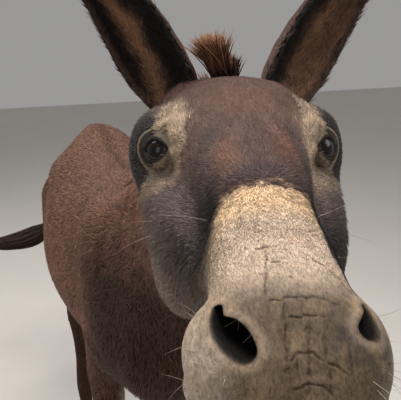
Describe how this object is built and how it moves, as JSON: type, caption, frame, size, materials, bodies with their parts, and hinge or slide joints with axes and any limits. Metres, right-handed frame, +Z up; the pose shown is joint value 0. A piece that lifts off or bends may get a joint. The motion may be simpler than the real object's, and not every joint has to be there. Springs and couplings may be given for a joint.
{
  "type": "donkey",
  "caption": "Life-size still model of a standing donkey with a raised neck, a reaching muzzle, upright ears, a standing mane and a tail swung aside.",
  "frame": {"origin": "on the floor, under the middle of the whole model's box", "axes": "+Z up; the donkey faces -Y and its left side is +X"},
  "size_m": [0.6661, 1.9046, 1.5686],
  "materials": {
    "coat": "short dense dark brown hair with reddish tips",
    "pale_muzzle": "pale tan-grey short hair over creased grey skin",
    "dark_hair": "coarse near-black hair with reddish brown tips",
    "horn": "dark grey hoof horn with faint growth rings",
    "eye": "wet dark brown eye"
  },
  "bodies": {
    "root": {"head": "coat", "muzzle": "pale_muzzle", "lower_jaw": "coat", "neck": "coat", "trunk": "coat", "tail_dock": "coat", "tail_switch": "dark_hair", "fore_leg_left": "coat", "fore_leg_right": "coat", "hind_leg_left": "coat", "hind_leg_right": "coat", "hoof_fore_left": "horn", "hoof_fore_right": "horn", "hoof_hind_left": "horn", "hoof_hind_right": "horn", "ear_left": "dark_hair", "ear_right": "dark_hair", "eye_left": "eye", "eye_right": "eye", "mane": "dark_hair", "forelock": "dark_hair"}
  },
  "joints": []
}
